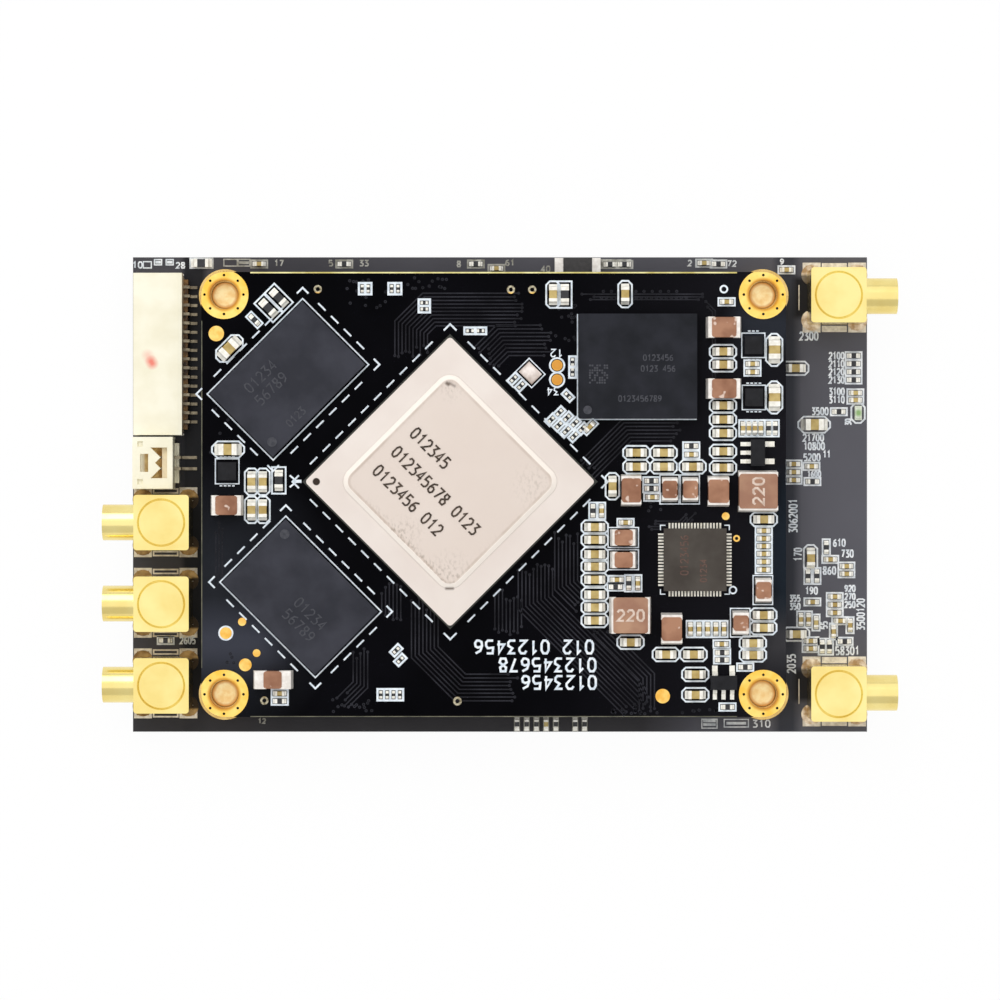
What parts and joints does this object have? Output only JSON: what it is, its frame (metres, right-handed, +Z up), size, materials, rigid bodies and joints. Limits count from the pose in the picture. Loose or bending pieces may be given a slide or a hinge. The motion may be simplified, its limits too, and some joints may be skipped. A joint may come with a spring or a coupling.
{
  "type": "video tracking board",
  "caption": "Video tracking board: a processor core board stacked on a carrier board with right-angle coaxial video jacks, a signal header and a power header.",
  "frame": {"origin": "centre of the overall box, at the bottom of the four base screw heads that the board stands on", "axes": "+X to the right along the long side, towards the two right-hand jacks; +Y towards the edge behind the signal header; +Z up out of the boards"},
  "size_m": [0.088, 0.053, 0.011],
  "materials": {
    "carrier_board": "satin solder mask over glass laminate",
    "core_board": "glossy black solder mask over glass laminate",
    "core_hole_plating": "gold plating",
    "standoffs": "bright turned brass",
    "base_screws": "bright brass",
    "stack_sockets": "moulded",
    "stack_socket_contacts": "gold flash",
    "stack_plugs": "moulded",
    "stack_plug_contacts": "gold flash",
    "jack_gold": "bright gold plating",
    "jack_insulator": "white moulded insulator",
    "jack_contact": "gold plating",
    "jack_solder_pads": "tinned",
    "signal_header_housing": "cream moulding",
    "signal_header_contacts": "tinned",
    "signal_header_anchors": "tinned",
    "power_header_housing": "cream moulding",
    "power_header_contacts": "tinned",
    "power_header_anchors": "tinned",
    "processor_substrate": "laminate",
    "processor_lid": "fine satin, plated",
    "processor_solder_balls": "solder",
    "upper_memory_chip": "moulded",
    "lower_memory_chip": "moulded",
    "flash_storage_chip": "moulded",
    "memory_solder_balls": "solder",
    "power_controller_chip": "moulded",
    "power_controller_pads": "solder",
    "power_inductors": "moulded brown",
    "power_inductor_ends": "tinned",
    "bulk_capacitors": "brown body",
    "bulk_capacitor_ends": "tinned",
    "chip_capacitor_bodies": "tan ceramic",
    "chip_capacitor_ends": "tinned",
    "chip_resistor_bodies": "black coated ceramic",
    "chip_resistor_ends": "tinned",
    "filter_inductor": "dark ferrite",
    "filter_inductor_ends": "tinned",
    "regulator_chips": "moulded",
    "regulator_leads": "tinned",
    "clock_crystal": "satin",
    "test_pads": "gold plating",
    "status_light": "clear resin"
  },
  "bodies": {
    "root": {"carrier_board": "carrier_board", "core_board": "core_board", "core_hole_plating": "core_hole_plating", "standoffs": "standoffs", "base_screws": "base_screws", "stack_sockets": "stack_sockets", "stack_socket_contacts": "stack_socket_contacts", "stack_plugs": "stack_plugs", "stack_plug_contacts": "stack_plug_contacts", "upper_left_jack_body": "jack_gold", "upper_left_jack_cap": "jack_gold", "upper_left_jack_insulator": "jack_insulator", "upper_left_jack_contact": "jack_contact", "middle_left_jack_body": "jack_gold", "middle_left_jack_cap": "jack_gold", "middle_left_jack_insulator": "jack_insulator", "middle_left_jack_contact": "jack_contact", "lower_left_jack_body": "jack_gold", "lower_left_jack_cap": "jack_gold", "lower_left_jack_insulator": "jack_insulator", "lower_left_jack_contact": "jack_contact", "upper_right_jack_body": "jack_gold", "upper_right_jack_cap": "jack_gold", "upper_right_jack_insulator": "jack_insulator", "upper_right_jack_contact": "jack_contact", "lower_right_jack_body": "jack_gold", "lower_right_jack_cap": "jack_gold", "lower_right_jack_insulator": "jack_insulator", "lower_right_jack_contact": "jack_contact", "jack_solder_pads": "jack_solder_pads", "signal_header_housing": "signal_header_housing", "signal_header_contacts": "signal_header_contacts", "signal_header_anchors": "signal_header_anchors", "power_header_housing": "power_header_housing", "power_header_contacts": "power_header_contacts", "power_header_anchors": "power_header_anchors", "processor_substrate": "processor_substrate", "processor_lid": "processor_lid", "processor_solder_balls": "processor_solder_balls", "upper_memory_chip": "upper_memory_chip", "lower_memory_chip": "lower_memory_chip", "flash_storage_chip": "flash_storage_chip", "memory_solder_balls": "memory_solder_balls", "power_controller_chip": "power_controller_chip", "power_controller_pads": "power_controller_pads", "power_inductors": "power_inductors", "power_inductor_ends": "power_inductor_ends", "bulk_capacitors": "bulk_capacitors", "bulk_capacitor_ends": "bulk_capacitor_ends", "chip_capacitor_bodies": "chip_capacitor_bodies", "chip_capacitor_ends": "chip_capacitor_ends", "chip_resistor_bodies": "chip_resistor_bodies", "chip_resistor_ends": "chip_resistor_ends", "filter_inductor": "filter_inductor", "filter_inductor_ends": "filter_inductor_ends", "regulator_chips": "regulator_chips", "regulator_leads": "regulator_leads", "clock_crystal": "clock_crystal", "test_pads": "test_pads", "status_light": "status_light"}
  },
  "joints": []
}
